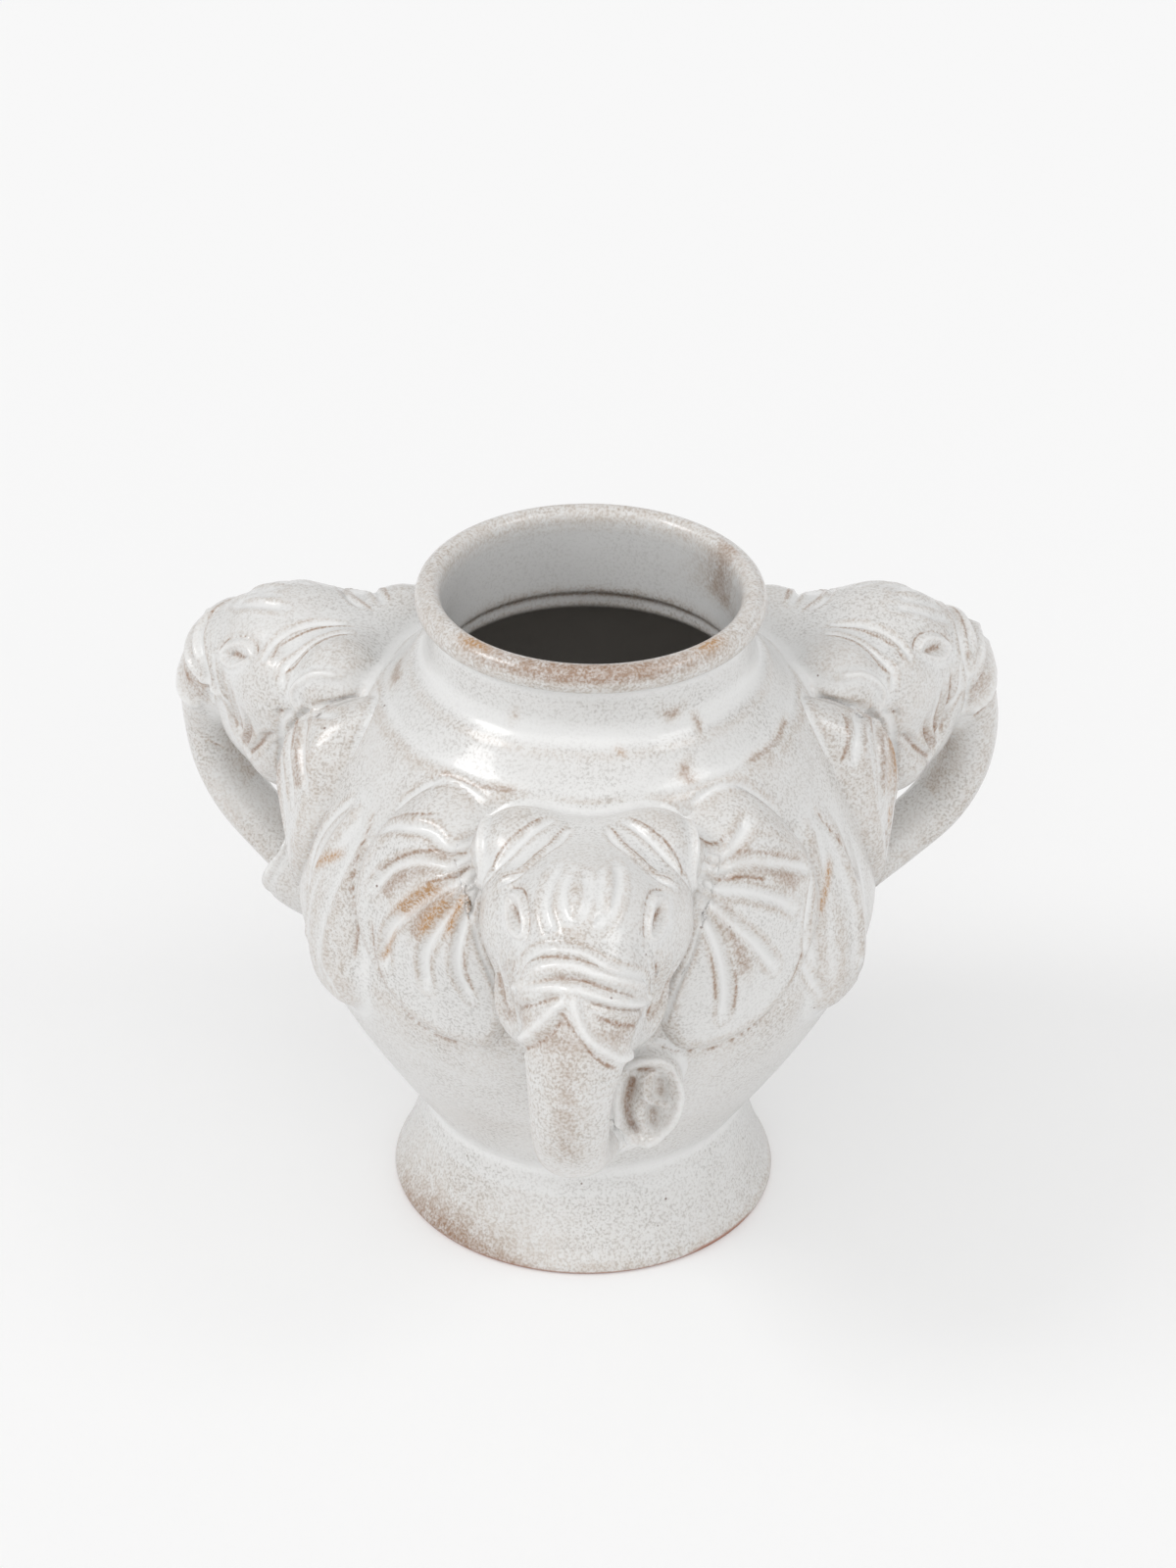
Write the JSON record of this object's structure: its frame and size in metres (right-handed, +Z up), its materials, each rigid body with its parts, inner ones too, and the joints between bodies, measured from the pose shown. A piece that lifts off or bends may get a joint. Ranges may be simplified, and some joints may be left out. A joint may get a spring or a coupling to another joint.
{
  "type": "vase",
  "caption": "Wide-bellied stoneware vase on a flared foot, with elephant heads luted round the shoulder whose trunks stand off as handles.",
  "frame": {"origin": "on the table, under the centre of the foot and on the axis of the thrown vessel", "axes": "+Z up along the axis the vessel was thrown on; the front elephant looks along -Y; +X is that elephant's own left"},
  "size_m": [0.2654, 0.2462, 0.22],
  "materials": {
    "glazed_stoneware": "satin white glaze over reddish brown clay"
  },
  "bodies": {
    "root": {"foot_ring": "glazed_stoneware", "belly": "glazed_stoneware", "neck_collar": "glazed_stoneware", "front_head": "glazed_stoneware", "front_trunk": "glazed_stoneware", "front_ear_left": "glazed_stoneware", "front_ear_right": "glazed_stoneware", "left_head": "glazed_stoneware", "left_trunk": "glazed_stoneware", "left_ear_left": "glazed_stoneware", "left_ear_right": "glazed_stoneware", "right_head": "glazed_stoneware", "right_trunk": "glazed_stoneware", "right_ear_left": "glazed_stoneware", "right_ear_right": "glazed_stoneware"}
  },
  "joints": []
}
